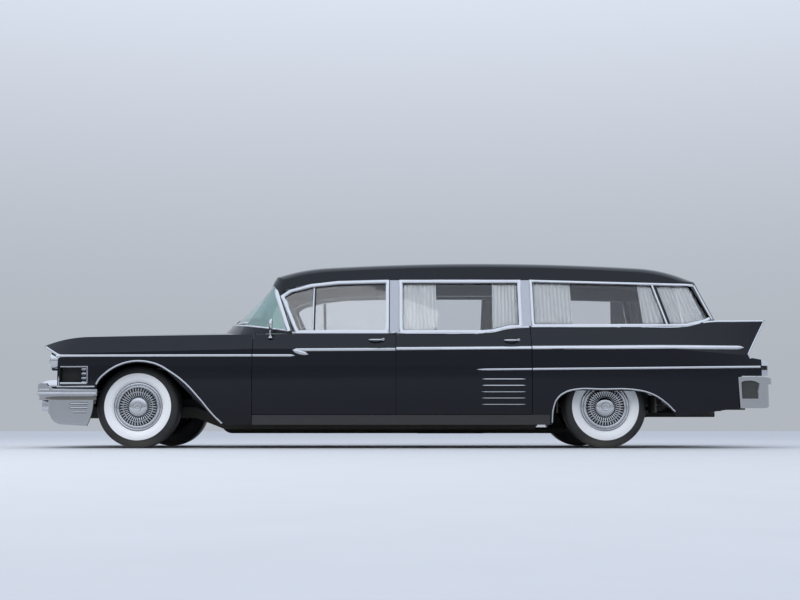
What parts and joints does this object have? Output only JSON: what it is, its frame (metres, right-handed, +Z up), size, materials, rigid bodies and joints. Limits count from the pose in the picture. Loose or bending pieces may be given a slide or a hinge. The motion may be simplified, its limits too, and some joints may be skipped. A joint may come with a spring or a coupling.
{
  "type": "hearse",
  "caption": "Long black limousine-style funeral coach with a glazed load space, opening doors, hood and rear loading door, tail fins and steerable, turning wheels.",
  "frame": {"origin": "on the floor under the middle of the car, halfway along its length and on its centre plane", "axes": "+X to the rear, +Y to the car's right-hand side, +Z up"},
  "size_m": [6.38, 2.0328, 1.6498],
  "materials": {
    "body_paint": "gloss",
    "bright_trim": "polished",
    "rocker_steel": "brushed",
    "wheel_cover": "polished",
    "window_glass": "clear, light green tint",
    "lamp_glass": "polished bowl behind clear glass",
    "tail_lamp_plastic": "gloss",
    "tyre_rubber": "matt, wide white sidewall",
    "chassis_iron": "satin black",
    "chassis_steel": "satin black",
    "curtain_cloth": "pleated satin weave",
    "seat_cloth": "satin",
    "dash_plastic": "satin",
    "deck_wood": "varnished"
  },
  "bodies": {
    "body": {"cowl": "body_paint", "dashboard": "dash_plastic", "engine": "chassis_iron", "exhaust": "chassis_steel", "fixed_glass": "window_glass", "floor": "chassis_steel", "frame": "chassis_iron", "frame_members": "chassis_iron", "front_bumper": "bright_trim", "front_fender_right": "body_paint", "front_fender_left": "body_paint", "front_seat": "seat_cloth", "front_suspension": "chassis_iron", "fuel_tank": "chassis_steel", "grille": "bright_trim", "headlamps": "lamp_glass", "quarter_right": "body_paint", "quarter_left": "body_paint", "quarter_curtains": "curtain_cloth", "rear_axle": "chassis_iron", "rear_bumper": "bright_trim", "rockers": "rocker_steel", "roof": "body_paint", "steering_wheel": "dash_plastic", "tail_lamps": "tail_lamp_plastic", "casket_deck": "deck_wood"},
    "hood": {"hood": "body_paint"},
    "loading_door": {"loading_door": "body_paint", "loading_door_glass": "window_glass", "tail_curtains": "curtain_cloth"},
    "front_door_right": {"front_door_right": "body_paint", "front_door_glass_right": "window_glass", "mirror_right": "bright_trim"},
    "rear_door_right": {"rear_door_right": "body_paint", "rear_door_glass_right": "window_glass", "rear_door_curtains_right": "curtain_cloth"},
    "knuckle_right": {"knuckle_right": "chassis_iron"},
    "wheel_front_right": {"wheel_front_right": "wheel_cover", "tyre_front_right": "tyre_rubber"},
    "wheel_rear_right": {"wheel_rear_right": "wheel_cover", "tyre_rear_right": "tyre_rubber"},
    "front_door_left": {"front_door_left": "body_paint", "front_door_glass_left": "window_glass", "mirror_left": "bright_trim"},
    "rear_door_left": {"rear_door_left": "body_paint", "rear_door_glass_left": "window_glass", "rear_door_curtains_left": "curtain_cloth"},
    "knuckle_left": {"knuckle_left": "chassis_iron"},
    "wheel_front_left": {"wheel_front_left": "wheel_cover", "tyre_front_left": "tyre_rubber"},
    "wheel_rear_left": {"wheel_rear_left": "wheel_cover", "tyre_rear_left": "tyre_rubber"}
  },
  "joints": [
    {"name": "steer_right", "type": "hinge", "parent": "body", "child": "knuckle_right", "pos_m": [-2.222, 0.664, 0.34], "axis": [0, 0, 1], "range_deg": [-28, 28]},
    {"name": "spin_front_right", "type": "hinge", "parent": "knuckle_right", "child": "wheel_front_right", "pos_m": [-2.222, 0.7745, 0.35], "axis": [0, 1, 0], "continuous": true},
    {"name": "spin_rear_right", "type": "hinge", "parent": "body", "child": "wheel_rear_right", "pos_m": [1.74, 0.7745, 0.35], "axis": [0, 1, 0], "continuous": true},
    {"name": "front_door_right_hinge", "type": "hinge", "parent": "body", "child": "front_door_right", "pos_m": [-1.2405, 1.016, 0.65], "axis": [0, 0, 1], "range_deg": [0, 65]},
    {"name": "rear_door_right_hinge", "type": "hinge", "parent": "body", "child": "rear_door_right", "pos_m": [-0.0315, 1.018, 0.65], "axis": [0, 0, 1], "range_deg": [0, 65]},
    {"name": "steer_left", "type": "hinge", "parent": "body", "child": "knuckle_left", "pos_m": [-2.222, -0.664, 0.34], "axis": [0, 0, 1], "range_deg": [-28, 28]},
    {"name": "spin_front_left", "type": "hinge", "parent": "knuckle_left", "child": "wheel_front_left", "pos_m": [-2.222, -0.7745, 0.35], "axis": [0, 1, 0], "continuous": true},
    {"name": "spin_rear_left", "type": "hinge", "parent": "body", "child": "wheel_rear_left", "pos_m": [1.74, -0.7745, 0.35], "axis": [0, 1, 0], "continuous": true},
    {"name": "front_door_left_hinge", "type": "hinge", "parent": "body", "child": "front_door_left", "pos_m": [-1.2405, -1.016, 0.65], "axis": [0, 0, -1], "range_deg": [0, 65]},
    {"name": "rear_door_left_hinge", "type": "hinge", "parent": "body", "child": "rear_door_left", "pos_m": [-0.0315, -1.018, 0.65], "axis": [0, 0, -1], "range_deg": [0, 65]},
    {"name": "hood_hinge", "type": "hinge", "parent": "body", "child": "hood", "pos_m": [-1.6225, 0, 1.022], "axis": [0, 1, 0], "range_deg": [0, 50]},
    {"name": "loading_door_hinge", "type": "hinge", "parent": "body", "child": "loading_door", "pos_m": [2.911, -0.6425, 0.9], "axis": [0, 0, -1], "range_deg": [0, 100]}
  ],
  "couplings": [
    {"joint": "steer_left", "follows": "steer_right", "ratio": 1}
  ]
}
